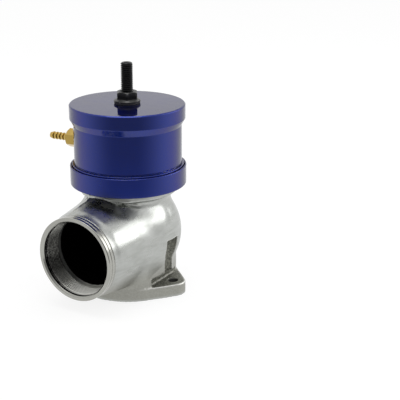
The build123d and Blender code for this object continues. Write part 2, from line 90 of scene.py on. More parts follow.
# The way of the air: inlet, seat and bore, the chamber round them, and the outlet
INLET_R = 24.0
SEAT_R = 21.5
SEAT_TOP = 10.0
BORE_R = 24.4
CHAMBER_R = 31.2
CHAMBER_NECK_R = 27.5
CHAMBER_LOW = 17.0
OUTLET_Z = 36.9
PASSAGE_R = 23.5
PASSAGE_LIFT = 1.0
PIPE_START_Y = -4.594
PIPE_START_R = 34.898
PIPE_TAPER = radians(7.503)
SWEEP_R = 9.0
SHOULDER_Y = -45.9
COLLAR_BACK_Y = -56.4
COLLAR_R = 27.7
COLLAR_BORE_R = 24.6
COLLAR_LAP = 0.6
MOUTH_Y = -62.2

# The actuator
BASE_R = 38.65
BASE_LOW = 72.5
BASE_FLOOR = 76.5
BASE_TOP = 85.3
CAP_R = 38.1
CAP_WALL_R = 35.72
CAP_GROOVE_R = 35.22
CAP_SKIRT_R = 37.1
CAP_SKIRT_LOW = 79.7
CAP_SKIRT_TOP = 86.3
CAP_ROOM_R = 31.52
CAP_ROOM_TOP = 121.0
CAP_TOP = 126.0
BARB_Z = 97.5
BARB_ANGLE = radians(185.0)
BARB_FACE = 35.22
STUD_R = 4.0
STUD_LOW = 111.5
STUD_TOP = 152.8
WASHER_R = 8.5
NUT_LOW = 127.2
NUT_TOP = 134.0
SPRING_LOW = 82.7
SPRING_TOP = 118.4

# Makes a Mix node mix colours instead of numbers
COLOURS = {"data_type": "RGBA"}


def linear(hex_colour):
    """Turns an sRGB hex colour such as #8090A0 into linear red, green and blue."""
    srgb = np.array([int(hex_colour[i:i + 2], 16) for i in (1, 3, 5)]) / 255
    values = np.where(srgb <= 0.04045, srgb / 12.92, ((srgb + 0.055) / 1.055) ** 2.4)
    return tuple(float(value) for value in values)


def length_property(name, description, default, smallest):
    return bpy.props.FloatProperty(
        name=name, description=description, default=default, min=smallest, unit="LENGTH")


def colour_property(name, description, hex_colour):
    return bpy.props.FloatVectorProperty(
        name=name, description=description, default=linear(hex_colour), size=3, min=0, max=1,
        subtype="COLOR")


class ValveCastingSettings(bpy.types.PropertyGroup):
    edge_round: length_property(
        "Edge rounding", "How far polishing has rounded the cast edges", 0.0009, 0.0001)
    web_round: length_property(
        "Web rounding", "Rounding where the outlet pipe meets the neck", 0.0068, 0.0005)
    voxel: length_property(
        "Mesh step", "Distance between neighbouring points of the casting's surface", 0.00076, 0.0005)
    scar_height: length_property(
        "Parting scar", "Height of the fettled parting line on top of the elbow", 0.0005, 0.0)
    polished: colour_property("Polished metal", "Colour of the polished aluminium", "#B4B6B3")
    rough: colour_property("Rough skin", "Colour of the sand-cast skin left in the slots", "#94948A")
    # Painted shade: the near-black colour laid over the passage's walls and inside the bolt holes
    passage: colour_property("Passage film", "Colour of the dark film inside the air passage", "#0B0B0B")


class ValveActuatorSettings(bpy.types.PropertyGroup):
    blue: colour_property("Anodised blue", "Colour of the dyed oxide on the cap and its base", "#06247E")
    marks: length_property("Turning marks", "Distance between the lathe tool's marks", 0.00045, 0.0001)
    edge_round: length_property("Edge rounding", "Radius left on the turned edges", 0.0002, 0.00005)


class ValveFastenerSettings(bpy.types.PropertyGroup):
    pitch: length_property("Thread pitch", "Advance of the stud's thread in one turn", 0.00125, 0.0005)
    depth: length_property("Thread depth", "Depth of the stud's thread", 0.0008, 0.0002)
    black: colour_property("Black oxide", "Colour of the blackened steel", "#0C0C0E")
    brass: colour_property("Brass", "Colour of the turned brass barb", "#CDB268")


class ValveStageSettings(bpy.types.PropertyGroup):
    lens: bpy.props.FloatProperty(
        name="Lens", description="Focal length for a sensor 36 mm wide",
        default=89.8, min=10.0, subtype="DISTANCE_CAMERA")
    place: bpy.props.FloatVectorProperty(
        name="Camera place", description="Where the camera stands",
        default=(0.3628, -0.5271, 0.27307), size=3, unit="LENGTH", subtype="TRANSLATION")
    aim: bpy.props.FloatVectorProperty(
        name="Camera aim", description="Direction that the camera looks in",
        default=(-0.4777, 0.8191, -0.3176), size=3, subtype="DIRECTION")
    roll: bpy.props.FloatProperty(
        name="Camera roll", description="Turn of the camera about its own axis",
        default=radians(0.31), subtype="ANGLE", unit="ROTATION")
    key: bpy.props.FloatProperty(
        name="Key lamp", description="Strength of the large soft lamp at the right",
        default=2.1, min=0.0, unit="POWER")
    top: bpy.props.FloatProperty(
        name="Top lamp", description="Strength of the soft lamp overhead",
        default=3.0, min=0.0, unit="POWER")


# Mesh work

def add_object(name, data):
    """Puts a new object that holds the data into the scene, at the origin."""
    obj = bpy.data.objects.new(name, data)
    bpy.context.scene.collection.objects.link(obj)
    return obj


def mesh_object(name, points, faces):
    """Puts points in millimetres and a list of faces into a new mesh object at the origin. The faces are
    turned round if the volume that they enclose is negative: the sum of the tetrahedra from the origin to
    each triangle."""
    mesh = bpy.data.meshes.new(name)
    mesh.from_pydata((points * MM).tolist(), [], faces)
    mesh.update()
    mesh.calc_loop_triangles()
    tris = np.empty(len(mesh.loop_triangles) * 3, np.int32)
    mesh.loop_triangles.foreach_get("vertices", tris)
    a, b, c = points[tris.reshape(-1, 3)].transpose(1, 0, 2)
    if np.einsum("ij,ij->i", a, np.cross(b, c)).sum() < 0:
        mesh.flip_normals()
    mesh.polygons.foreach_set("use_smooth", np.ones(len(mesh.polygons), bool))
    mesh.update()
    return add_object(name, mesh)


def grid_object(name, grid, ring=False):
    """Joins a grid of points, rows by columns, whose rows close on themselves. Each face joins two
    neighbours of one row to the same two of the next. With ring, the last row joins the first, as on a tube
    bent shut. Without it, the first and last rows are each closed by one flat face."""
    rows, columns = grid.shape[:2]
    row = np.arange(rows if ring else rows - 1)[:, None] * columns
    next_row = (row + columns) % (rows * columns)
    column = np.arange(columns)[None, :]
    next_column = (column + 1) % columns
    corners = [row + column, row + next_column, next_row + next_column, next_row + column]
    faces = np.stack(corners, axis=-1).reshape(-1, 4).tolist()
    if not ring:
        faces.append(list(range(columns))[::-1])
        faces.append(list(range((rows - 1) * columns, rows * columns)))
    return mesh_object(name, grid.reshape(-1, 3), faces)


def paint(mesh, **levels):
    """Stores a level for each point of a mesh under each name, for its material to read."""
    for name, level in levels.items():
        attribute = mesh.attributes.new(name, "FLOAT", "POINT")
        attribute.data.foreach_set("value", level.astype(np.float32).ravel())


def rounded(corners, radius, steps=4, closed=True):
    """A turned profile with its corners rounded. Each corner gives way to a quadratic curve pulled towards
    it, which leaves one side a radius away from the corner and meets the other side as far away. One more
    point on each side keeps the flats flat to the eye. An open profile keeps its two ends as they are."""
    longest_share, lead_share = 0.4, 1.2
    points = np.array(corners, float)
    before = np.roll(points, 1, axis=0) - points
    after = np.roll(points, -1, axis=0) - points
    before_len = np.linalg.norm(before, axis=1, keepdims=True)
    after_len = np.linalg.norm(after, axis=1, keepdims=True)
    reach = np.minimum(radius, longest_share * np.minimum(before_len, after_len))
    start = points + before / before_len * reach
    end = points + after / after_len * reach
    t = np.linspace(0, 1, steps + 1)[None, :, None]
    curve = (1 - t) ** 2 * start[:, None] + 2 * t * (1 - t) * points[:, None] + t**2 * end[:, None]
    lead = points + before / before_len * reach * lead_share
    tail = points + after / after_len * reach * lead_share
    full = np.concatenate([lead[:, None], curve, tail[:, None]], axis=1)
    if closed:
        return full.reshape(-1, 2)
    return np.concatenate([points[:1], full[1:-1].reshape(-1, 2), points[-1:]])


def around_axis(radius, angles, height):
    """Points round the Z axis: x is radius times cosine, y is radius times sine and z is height. Each is a
    number or an array, and they are spread over each other."""
    return np.stack(np.broadcast_arrays(radius * np.cos(angles), radius * np.sin(angles), height), axis=-1)


def turned_grid(profile, angles):
    """Carries a profile of radius and height round the Z axis."""
    return around_axis(profile[:, :1], angles, profile[:, 1:])


def turned_rows(rows, angles):
    """Carries rows of radius and height round the Z axis, where both may change with the angle."""
    return np.stack([around_axis(radius, angles, height) for radius, height in rows])


def even_angles(count):
    return np.linspace(0, 2 * pi, count, endpoint=False)


def hexagon_radius(angles, across_flats, turn=0.0):
    """Distance from the centre to a hexagon's side: half the size across flats over the cosine of the angle
    from the nearest flat's middle."""
    from_flat = np.mod(angles - turn, pi / 3) - pi / 6
    return across_flats / 2 / np.cos(from_flat)


def thread_wave(turns, root, crest):
    """A V thread's rise, from 0 at the root to 1 at the crest, each cut flat by a share of the pitch."""
    saw = np.abs(np.mod(turns, 1.0) * 2 - 1)
    return np.clip((saw - root) / (1 - root - crest), 0, 1)


def turn_to_outlet(grid):
    """Turns a piece made round the Z axis so that its axis lies along the outlet: height becomes y."""
    return np.stack([grid[..., 0], grid[..., 2], grid[..., 1] + OUTLET_Z], axis=-1)


def barb_axes():
    """Unit directions out along the hose barb and level across it."""
    out = np.array([cos(BARB_ANGLE), sin(BARB_ANGLE), 0.0])
    return out, np.array([-out[1], out[0], 0.0])


def turn_to_barb(grid):
    """Turns a piece made round the Z axis so that its height runs out along the hose barb."""
    out, side = barb_axes()
    up = np.array([0.0, 0.0, 1.0])
    return out * BARB_FACE + up * BARB_Z + grid[..., :1] * side + grid[..., 1:2] * up + grid[..., 2:] * out


def dress(obj, body, material, slot, *nodes):
    """Gives a piece its material, its body and the model's nodes that it stands for. The slot is not used."""
    obj.data.materials.clear()
    obj.data.materials.append(material)
    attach(obj, body)
    if nodes:
        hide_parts(*nodes)
    return obj


# The casting as a distance: negative inside the metal, positive outside it

def smooth_step(value, low, high):
    """Rises from 0 at low to 1 at high, level at both ends: three times the square less twice the cube."""
    t = np.clip((value - low) / (high - low), 0, 1)
    return t * t * (3 - 2 * t)


def soft_max(a, b, reach):
    """The larger of two distances, with the crossing rounded: where they differ by less than the reach, a
    quarter of the squared shortfall over the reach is added."""
    near = np.clip(reach - np.abs(a - b), 0, None)
    return np.maximum(a, b) + near**2 / (4 * reach)


def soft_min(a, b, reach):
    return -soft_max(-a, -b, reach)


def hull_distance(x, y, angles, support):
    """Distance from a convex outline: the largest, over all directions, of how far the point lies along that
    direction beyond the outline's own reach."""
    best = np.full(x.shape, -np.inf)
    for angle, reach in zip(angles, support):
        best = np.maximum(best, x * cos(angle) + y * sin(angle) - reach)
    return best


def arc_support(angles, radius, low, high):
    """How far an arc from angle low to high reaches in each direction: its radius inside that span, and
    less by the cosine of the angle past its nearer end outside it."""
    past = np.maximum(np.maximum(low - angles, angles - high), 0)
    return radius * np.cos(np.minimum(past, pi))


# The skirt's outline is an arc in front and the wall behind. The flange plate adds an ear at each side
OUTLINE_ANGLES = np.radians(np.arange(-90, 91, 3.0))
SKIRT_SUPPORT = np.maximum(
    arc_support(OUTLINE_ANGLES, FRONT_R, radians(-142), radians(-38)),
    arc_support(OUTLINE_ANGLES, WALL_R, radians(-10), radians(190)),
)
FLANGE_SUPPORT = np.maximum(
    np.maximum(SKIRT_SUPPORT, EAR_X * np.cos(OUTLINE_ANGLES) + EAR_R),
    arc_support(OUTLINE_ANGLES, WALL_R + 0.5, radians(-10), radians(190)),
)


def outside_distance(p, edge, web):
    """The casting's outer form before anything is bored out of it: sphere, wall, neck and top flange joined
    softly, then the tapered outlet pipe, the front skirt and the flange plate."""
    x, y, z = p.T
    side = np.abs(x)
    r = np.hypot(x, y)
    across = np.hypot(x, z - OUTLET_Z)
    globe = np.hypot(r, z - GLOBE_Z) - GLOBE_R
    wall = np.maximum(r - WALL_R, z - GLOBE_Z)
    neck = np.maximum(r - NECK_R, GLOBE_Z - z)
    top_flange = soft_max(r - TOP_FLANGE_R, TOP_FLANGE_LOW - z, edge)
    body = soft_min(globe, wall, 1.0)
    body = soft_min(body, neck, 2.7)
    body = soft_min(body, top_flange, 5.3)
    # The pipe tapers towards a hollow sweep that leads up to the collar, and its inner end fades in the globe
    beyond = y - PIPE_START_Y
    cone = (across - PIPE_START_R - beyond * tan(PIPE_TAPER)) * cos(PIPE_TAPER)
    past_sweep = np.clip(COLLAR_BACK_Y - y, 0, None)
    from_sweep = np.hypot(np.clip(y - COLLAR_BACK_Y, 0, None), across - COLLAR_R - SWEEP_R)
    sweep = SWEEP_R - from_sweep + 0.8 * past_sweep
    pipe = soft_max(soft_max(cone, sweep, 1.0), beyond, 6.0)
    pipe = np.maximum(pipe, past_sweep - COLLAR_LAP)
    # Its web is sharp below and grows to full rounding towards the neck
    sharp = 0.4
    body = soft_min(body, pipe, sharp + (web - sharp) * smooth_step(z, 34.0, 58.0))
    skirt = hull_distance(side, y, OUTLINE_ANGLES, SKIRT_SUPPORT)
    skirt = soft_max(skirt, z - FRONT_TOP, 0.8 * edge)
    # The skirt runs softly into the globe near the slots
    beside_slot = smooth_step(side, 14.0, 27.0) * smooth_step(-y, 2.0, 8.0)
    body = soft_min(body, skirt, sharp + 5.6 * beside_slot)
    flange = hull_distance(side, y, OUTLINE_ANGLES, FLANGE_SUPPORT)
    body = soft_min(body, soft_max(flange, z - FLANGE_TOP, edge), sharp)
    body = soft_max(body, -z, 0.3)
    return np.maximum(body, z - CASTING_TOP)


def passage_distance(p):
    """The air passage: inlet, seat and bore up the middle, the chamber round them, and the outlet."""
    x, y, z = p.T
    r = np.hypot(x, y)
    from_ear = np.hypot(np.abs(x) - EAR_X, y)
    inlet_r = np.interp(z, (5.0, 7.5), (INLET_R, SEAT_R))
    inlet = np.where(z < SEAT_TOP, r - inlet_r, r - BORE_R)
    above_globe = np.maximum(r - CHAMBER_NECK_R, z - GLOBE_Z)
    chamber = np.minimum(np.hypot(r, z - GLOBE_Z) - CHAMBER_R, above_globe)
    chamber = np.maximum(chamber, CHAMBER_LOW - z)
    # The metal round each tool slot stands into the chamber
    slot_wall = np.maximum(from_ear - SLOT_R - SLOT_WALL, z - SLOT_TOP - SLOT_WALL)
    chamber = np.maximum(chamber, -slot_wall)
    from_axis = np.hypot(x, z - OUTLET_Z - PASSAGE_LIFT)
    outlet = np.maximum(from_axis - PASSAGE_R, np.maximum(y, SHOULDER_Y - 1.0 - y))
    # The mouth is bored a little wider than the collar's own wall, which hides it
    mouth = np.maximum(np.hypot(x, z - OUTLET_Z) - COLLAR_BORE_R - 0.3, y - SHOULDER_Y)
    return np.minimum(np.minimum(inlet, chamber), np.minimum(outlet, mouth))


def pocket_distance(p):
    """The tool slot above each bolt hole and the washer's recess at its foot."""
    x, y, z = p.T
    side = np.abs(x)
    from_ear = np.hypot(side - EAR_X, y)
    slot = np.maximum(np.maximum(from_ear - SLOT_R, FLANGE_TOP - z), z - SLOT_TOP)
    corner_x = RECESS_X - side + RECESS_CORNER
    corner_y = np.abs(y) - RECESS_Y + RECESS_CORNER
    recess = np.hypot(np.maximum(corner_x, 0), np.maximum(corner_y, 0))
    recess = recess + np.minimum(np.maximum(corner_x, corner_y), 0) - RECESS_CORNER
    recess = np.maximum(np.maximum(recess, FLANGE_TOP - z), z - RECESS_TOP)
    return np.minimum(slot, recess)


def casting_distance(p, edge, web):
    """Distance to the whole casting: the outer form with the passage, the pockets, the bolt holes and the six
    tapped holes taken out of it, each edge rounded."""
    x, y, z = p.T
    body = outside_distance(p, edge, web)
    body = soft_max(body, -passage_distance(p), 0.5)
    body = soft_max(body, -pocket_distance(p), edge)
    bolt = np.maximum(np.hypot(np.abs(x) - EAR_X, y) - BOLT_R, z - FLANGE_TOP - 1.0)
    body = soft_max(body, -bolt, 0.4)
    r = np.hypot(x, y)
    sixth = np.mod(np.arctan2(y, x) + pi / 6, pi / 3) - pi / 6
    tapped = np.hypot(r * np.cos(sixth) - SCREW_CIRCLE_R, r * np.sin(sixth)) - SCREW_HOLE_R
    tapped = np.maximum(tapped, CASTING_TOP - SCREW_HOLE_DEPTH - z)
    return np.maximum(body, -tapped)


def gradient(field, p, step=0.06):
    """Slope of a field at each point, from its values a step to each side along the three axes."""
    slope = np.empty_like(p)
    for axis in range(3):
        shift = np.zeros(3)
        shift[axis] = step
        slope[:, axis] = (field(p + shift) - field(p - shift)) / (2 * step)
    return slope


def settle(field, p, rounds=4):
    """Draws points onto the surface where the field is 0: each moves against the slope by the field's value
    over the slope's squared length, and by half a millimetre at most."""
    flattest, longest = 0.25, 0.5
    for _ in range(rounds):
        slope = gradient(field, p)
        steepness = np.maximum((slope**2).sum(axis=1), flattest)
        move = np.clip(field(p) / steepness, -longest, longest)
        p = p - slope * move[:, None]
    return p


def wavy(p, scale, seed):
    """Unevenness between -1 and 1: the mean of seven sines along fixed slanted directions, whose waves are
    about as long as the scale."""
    rng = np.random.default_rng(seed)
    directions = rng.normal(size=(7, 3))
    directions /= np.linalg.norm(directions, axis=1, keepdims=True)
    pace = rng.uniform(0.7, 1.5, 7) * 2 * pi / scale
    phase = rng.uniform(0, 2 * pi, 7)
    return np.sin(p @ directions.T * pace + phase).mean(axis=1)


def bell(distance, width):
    """A rounded bump: e to the power of minus the square of the distance over the width."""
    return np.exp(-((distance / width) ** 2))


def even_mesh(node, step):
    """A copy of a node's mesh rebuilt with even faces, and relaxed."""
    rough = add_object("even_copy", node.data.copy())
    remesh = rough.modifiers.new("even_faces", "REMESH")
    remesh.mode = "VOXEL"
    remesh.voxel_size = step
    relax = rough.modifiers.new("relax", "SMOOTH")
    relax.factor = 0.5
    relax.iterations = 3
    graph = bpy.context.evaluated_depsgraph_get()
    mesh = bpy.data.meshes.new_from_object(rough.evaluated_get(graph))
    bpy.data.objects.remove(rough)
    return mesh


def cut_square(mesh, y):
    """Cuts a mesh off square at y, where the outlet points, and closes its wall with a flat ring."""
    cut = bmesh.new()
    cut.from_mesh(mesh)
    bmesh.ops.bisect_plane(
        cut, geom=cut.verts[:] + cut.edges[:] + cut.faces[:], dist=0.1 * MM,
        plane_co=(0.0, y * MM, 0.0), plane_no=(0.0, -1.0, 0.0), clear_outer=True)
    bmesh.ops.bridge_loops(cut, edges=[edge for edge in cut.edges if edge.is_boundary])
    bmesh.ops.recalc_face_normals(cut, faces=cut.faces)
    cut.to_mesh(mesh)
    cut.free()


def casting_finish(p, outer):
    """Levels from 0 to 1 at each point, from its distance to the passage, the pockets and the outer form: the
    painted shade, the cast skin, the painted highlight along edges, and the polished outside."""
    x, y, z = p.T
    side = np.abs(x)
    # Painted shade over the walls of the air passage
    painted_shade = smooth_step(-np.abs(passage_distance(p)), -0.35, -0.12)
    # The painted shade is lighter on the turned shoulder, and lighter still low down where the light reaches
    # it
    shoulder = 1 - smooth_step(y, SHOULDER_Y + 0.2, SHOULDER_Y + 0.7)
    lit = smooth_step(np.hypot(x - 8.0, z - 13.0), 22.0, 8.0)
    painted_shade *= 1 - shoulder * (0.2 + 0.75 * lit)
    # Painted shade in the bolt holes, below their upper edge
    from_bolt = np.hypot(side - EAR_X, y)
    painted_shade = np.maximum(painted_shade, 0.9 * smooth_step(-from_bolt, -3.6, -3.2) * smooth_step(-z, -8.4, -7.6))
    pocket = pocket_distance(p)
    skin = smooth_step(-np.abs(pocket), -0.5, -0.2)
    # Painted highlight along edges: round the slots, along the plate's top edge and at the recess's foot
    slot_rim = bell(pocket, 0.5) * bell(outer, 0.5) * smooth_step(z, 9.0, 10.0)
    plate_edge = hull_distance(side, y, OUTLINE_ANGLES, FLANGE_SUPPORT)
    plate_rim = bell(plate_edge + 0.3, 0.4) * bell(z - 8.2, 0.5)
    foot = bell(side - 27.5, 0.35) * bell(z - 8.7, 0.5)
    foot *= smooth_step(wavy(p, 2.2, 8), -0.35, 0.2) * (y < 12)
    painted_edge_highlight = np.clip(slot_rim + plate_rim + foot, 0, 1) * smooth_step(side, 24.0, 26.0)
    outside = (1 - painted_shade) * (1 - skin) * smooth_step(z, 0.5, 2.0) * smooth_step(CASTING_TOP - z, 0.5, 2.0)
    return painted_shade, skin, painted_edge_highlight, outside


def buffed(p, normal, outside, scar):
    """Moves the polished outside along its normals, first by waves of a few hundredths of a millimetre over a
    finger's width, then by the parting line, a bell-shaped ridge along the top of the elbow, broken and
    ragged."""
    waves = 0.035 * wavy(p, 17.0, 3) + 0.008 * wavy(p, 5.0, 4)
    p = p + normal * (outside * waves)[:, None]
    along = smooth_step(p[:, 2], 58.0, 62.0) * smooth_step(-p[:, 1], 22.0, 27.0)
    ragged = 0.9 * wavy(p * (0.2, 1.0, 1.0), 7.0, 11)
    ridge = bell(p[:, 0] + 9.0 - ragged, 0.9)
    height = scar * (0.7 + 0.6 * wavy(p, 2.6, 5))
    return p + normal * (along * ridge * height * outside)[:, None]


# Materials

def fill(tree, node, *values, **named):
    """Gives the inputs that a node uses their values: the first ones in order, and others by name. A value
    is a number, a colour or another node's output, which is linked."""
    used = [socket for socket in node.inputs if socket.enabled]
    by_name = {socket.name.replace(" ", "_"): socket for socket in used}
    for socket, value in [*zip(used, values), *((by_name[name], value) for name, value in named.items())]:
        if isinstance(value, bpy.types.NodeSocket):
            tree.links.new(value, socket)
        else:
            socket.default_value = value


def add_node(tree, kind, *values, output=None, settings=None, **named):
    """Adds a node with its own settings, fills its inputs, and returns one output: the one that is named, or
    else the first that the node uses."""
    node = tree.nodes.new("ShaderNode" + kind)
    for name, value in (settings or {}).items():
        setattr(node, name, value)
    fill(tree, node, *values, **named)
    return node.outputs[output] if output else next(socket for socket in node.outputs if socket.enabled)


def new_material(name, **constants):
    """An empty material with one shader whose own sockets hold the constants."""
    material = bpy.data.materials.new(name)
    material.use_nodes = True
    tree = material.node_tree
    shader = tree.nodes["Principled BSDF"]
    fill(tree, shader, **constants)
    return material, tree, shader


def rgba(colour):
    """Four linear values for a node, from a hex colour or from a setting's three linear values."""
    return (*(linear(colour) if isinstance(colour, str) else colour), 1.0)


def pattern_scale(size):
    """A texture's scale for patches of a size in millimetres: how many fit in a metre, to the nearest ten."""
    return 10.0 * round(0.1 / (size * MM))


def white_rays(tree):
    """1 for the rays that show the white ground itself: from the camera, from reflections, through glass."""
    white = add_node(tree, "LightPath", output="Is Camera Ray")
    rays = white.node.outputs
    for kind in ("Is Glossy Ray", "Is Transmission Ray"):
        white = add_node(tree, "Math", white, rays[kind], settings={"operation": "MAXIMUM"})
    return white


def cast_aluminium(settings):
    """Polished cast aluminium: soft, slightly wavy reflections, fine buffing lines, and dull grey sand-cast
    skin with a pitted grain where no wheel could reach."""
    material, tree, shader = new_material("polished_cast_aluminium", Metallic=1.0)
    place = add_node(tree, "TexCoord", output="Object")
    # Besides the cast skin and the lower finish, these attributes carry painted shade and a painted highlight
    skin, painted_shade, satin, painted_edge_highlight = (
        add_node(tree, "Attribute", settings={"attribute_name": name}, output="Fac")
        for name in ("cast_skin", "air_passage", "satin", "burnished"))
    # Clouding from the buffing wheel, in patches of 9 mm
    cloud = add_node(tree, "TexNoise", Vector=place, Scale=pattern_scale(9.1), Detail=4.0)
    # Its long streaks, 3 mm wide and over four times as long
    streak_place = add_node(
        tree, "Mapping", Vector=place, Rotation=(0.2, 0.1, 0.15), Scale=(1.0, 0.22, 1.0))
    streak = add_node(
        tree, "TexNoise", Vector=streak_place, Scale=pattern_scale(3.03), Detail=3.0, Distortion=0.4)
    # Its fine lines, which run round the body, drawn 0.55 mm apart so that they show
    buff_place = add_node(tree, "Mapping", Vector=place, Scale=(0.12, 0.12, 1.0))
    buff = add_node(tree, "TexNoise", Vector=buff_place, Scale=pattern_scale(0.555), Detail=2.0)
    # Sand grain and pits, drawn 1 mm coarse so that they show
    grain = add_node(tree, "TexNoise", Vector=place, Scale=pattern_scale(1.05), Detail=3.0)
    pits = add_node(tree, "TexVoronoi", Vector=place, Scale=pattern_scale(1.11))

    streaked = add_node(tree, "MapRange", Value=streak, From_Min=0.35, From_Max=0.7)
    colour = add_node(tree, "Mix", streaked, rgba(settings.polished), rgba("#A6A8A4"), settings=COLOURS)
    # Lower down the metal is a darker warm grey with faint sand grain, and rougher
    lower_tone = add_node(tree, "Mix", grain, rgba("#B2B2AB"), rgba("#8E8E87"), settings=COLOURS)
    spread = add_node(tree, "MapRange", Value=grain, From_Min=0.33, From_Max=0.67)
    dull = add_node(tree, "Mix", spread, rgba("#5A5B55"), rgba(settings.rough), settings=COLOURS)
    rough = add_node(tree, "MapRange", Value=cloud, From_Min=0.3, From_Max=0.7, To_Min=0.22, To_Max=0.36)
    # Each layer covers the ones before it: the lower finish, the cast skin, the painted highlight along edges,
    # then the painted shade
    for amount, tint in (
            (satin, lower_tone), (skin, dull), (painted_edge_highlight, rgba("#E6E6E2")), (painted_shade, rgba(settings.passage))):
        colour = add_node(tree, "Mix", amount, colour, tint, settings=COLOURS)
    for amount, roughness in ((satin, 0.5), (skin, 0.58), (painted_shade, 0.75)):
        rough = add_node(tree, "Mix", amount, rough, roughness)

    fine = add_node(tree, "Bump", Strength=0.05, Distance=0.0002, Height=buff)
    uneven = add_node(tree, "Math", grain, pits, settings={"operation": "ADD"})
    in_skin = add_node(tree, "Math", uneven, skin, settings={"operation": "MULTIPLY"})
    coarse = add_node(tree, "Bump", Strength=0.4, Distance=0.0006, Height=in_skin, Normal=fine)
    fill(tree, shader, Base_Color=colour, Roughness=rough, Normal=coarse)
    return material


def turned_metal(
        name, colour, worn, metallic, rough, marks, strength, axis="Z", with_painted_shade=False, with_painted_light=False, **constants):
    """A lathe-turned surface: fine rings left by the tool, one to each step of feed, over a bright or dyed
    metal whose colour and gloss drift a little, in patches of 17 mm. Where shade is painted, an attribute
    darkens it with painted shade, and where light is painted, another makes it pale with painted light."""
    material, tree, shader = new_material(name, Metallic=metallic, **constants)
    place = add_node(tree, "TexCoord", output="Object")
    drift = add_node(tree, "TexNoise", Vector=place, Scale=pattern_scale(16.7), Detail=3.0)
    tint = add_node(tree, "Mix", drift, rgba(colour), rgba(worn), settings=COLOURS)
    if with_painted_shade:
        # The painted shade is broken up in spots of 0.9 mm
        painted_shade = add_node(tree, "Attribute", settings={"attribute_name": "oil_film"}, output="Fac")
        mottle = add_node(tree, "TexNoise", Vector=place, Scale=pattern_scale(0.91), Detail=3.0)
        broken = add_node(
            tree, "MapRange", Value=mottle, From_Min=0.35, From_Max=0.6, To_Min=0.75, To_Max=1.1)
        cover = add_node(tree, "Math", painted_shade, broken, settings={"operation": "MULTIPLY", "use_clamp": True})
        tint = add_node(tree, "Mix", cover, tint, rgba("#0D0D0F"), settings=COLOURS)
    if with_painted_light:
        # Painted light: an attribute makes the surface pale and less metallic, so that it looks lit
        bright = add_node(tree, "Attribute", settings={"attribute_name": "burnished"}, output="Fac")
        tint = add_node(tree, "Mix", bright, tint, rgba("#F0F0EA"), settings=COLOURS)
        fill(tree, shader, Metallic=add_node(tree, "MapRange", Value=bright, To_Min=metallic, To_Max=0.2))
    gloss = add_node(
        tree, "MapRange", Value=drift, From_Min=0.3, From_Max=0.7, To_Min=rough * 0.85, To_Max=rough * 1.2)
    # The rings run round the axis, so the pattern is fine along it and fifty times as long across it
    stretch = [0.02, 0.02, 0.02]
    stretch["XYZ".index(axis)] = 1.0
    ring_place = add_node(tree, "Mapping", Vector=place, Scale=stretch)
    rings = add_node(tree, "TexNoise", Vector=ring_place, Scale=1 / marks, Detail=2.0)
    bump = add_node(tree, "Bump", Strength=strength, Distance=0.0002, Height=rings)
    fill(tree, shader, Base_Color=tint, Roughness=gloss, Normal=bump)
    return material


def anodised_blue(settings):
    """Blue dyed anodising over a turned and buffed surface: the dye colours a soft metal reflection, and the
    clear sealed oxide on top of it mirrors the room white, strongly at a glancing angle."""
    return turned_metal(
        "anodised_blue_aluminium", settings.blue, "#052278", 1.0, 0.32, settings.marks, 0.12, with_painted_shade=True,
        Specular_Tint=(0.12, 0.12, 0.2, 1.0), Coat_Weight=0.88, Coat_Roughness=0.06)


def oxide_black(settings):
    """Black oxide on steel, slightly oily in patches of 2 mm, with bare grey steel at worn edges and, where
    the worn attribute is set, painted grey glints.
    """
    material, tree, shader = new_material("black_oxide_steel", Metallic=0.4, Specular_IOR_Level=0.2)
    place = add_node(tree, "TexCoord", output="Object")
    patches = add_node(tree, "TexNoise", Vector=place, Scale=pattern_scale(2.0), Detail=4.0)
    pointed = add_node(tree, "NewGeometry", output="Pointiness")
    edge = add_node(tree, "MapRange", Value=pointed, From_Min=0.53, From_Max=0.62, To_Max=0.55)
    # The worn attribute holds wear and painted glints on the nut
    wear_and_painted_glint = add_node(tree, "Attribute", settings={"attribute_name": "worn"}, output="Fac")
    bare = add_node(tree, "Math", edge, wear_and_painted_glint, settings={"operation": "MAXIMUM"})
    worn = add_node(tree, "Math", bare, patches, settings={"operation": "MULTIPLY", "use_clamp": True})
    colour = add_node(tree, "Mix", worn, rgba(settings.black), rgba("#8A8A88"), settings=COLOURS)
    rough = add_node(tree, "MapRange", Value=patches, From_Min=0.3, From_Max=0.7, To_Min=0.28, To_Max=0.45)
    bump = add_node(tree, "Bump", Strength=0.15, Distance=0.0001, Height=patches)
    fill(tree, shader, Base_Color=colour, Roughness=rough, Normal=bump)
    return material


def dull_grain(name, dark, light, smooth, rough, size, detail, stretch=1.0, relief=0.0, **constants):
    """A dull surface with one fine grain of a size in millimetres, which takes its colour from dark to
    light and its roughness from smooth to rough. The grain can be drawn out along Y and stand up a little."""
    material, tree, shader = new_material(name, **constants)
    place = add_node(tree, "TexCoord", output="Object")
    grain_place = add_node(tree, "Mapping", Vector=place, Scale=(1.0, stretch, 1.0))
    grain = add_node(tree, "TexNoise", Vector=grain_place, Scale=pattern_scale(size), Detail=detail)
    colour = add_node(tree, "Mix", grain, rgba(dark), rgba(light), settings=COLOURS)
    gloss = add_node(tree, "MapRange", Value=grain, To_Min=smooth, To_Max=rough)
    bump = add_node(tree, "Bump", Strength=relief, Distance=0.0001, Height=grain)
    fill(tree, shader, Base_Color=colour, Roughness=gloss, Normal=bump)
    return material


def moulded_rubber():
    """Moulded nitrile rubber: near-black, dull, with a fine stipple from the mould, 0.4 mm apart."""
    return dull_grain(
        "moulded_nitrile_rubber", "#141415", "#232325", 0.5, 0.75, 0.4, 2.0, relief=0.2, IOR=1.52)


def pressed_fibre():
    """Pressed fibre gasket sheet: dull grey-green, with pale fibres 0.7 mm wide and three times as long."""
    return dull_grain(
        "pressed_fibre_gasket", "#2E302C", "#5A5C52", 0.75, 0.95, 0.667, 3.0, stretch=0.3, IOR=1.5)


# Operators, one for each piece or group of like pieces

